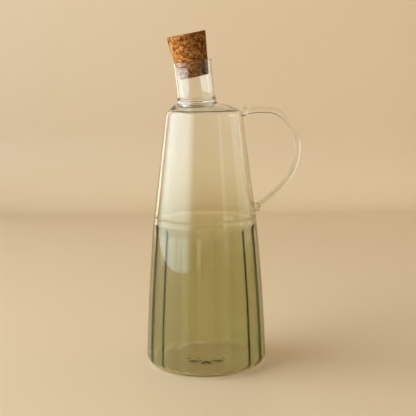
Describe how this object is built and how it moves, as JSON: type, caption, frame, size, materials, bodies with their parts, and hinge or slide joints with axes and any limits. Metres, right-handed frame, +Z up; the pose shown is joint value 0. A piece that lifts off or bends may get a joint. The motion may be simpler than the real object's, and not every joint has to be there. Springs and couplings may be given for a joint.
{
  "type": "oil cruet",
  "caption": "Tall conical glass oil cruet with a ribbed lower half, a slightly leaning tube neck, a thin bent rod handle and a tapered cork stopper, standing empty.",
  "frame": {"origin": "centre of the flat underside, on the body's axis, at the height of the surface it stands on", "axes": "+Z up along the body's axis, +X towards the handle, -Y towards the viewer of the picture"},
  "size_m": [0.1135, 0.0876, 0.2419],
  "materials": {
    "glass": "clear, olive green towards the base",
    "cork": "matt natural cork"
  },
  "bodies": {
    "root": {"glass_bottle": "glass", "cork_stopper": "cork"}
  },
  "joints": []
}
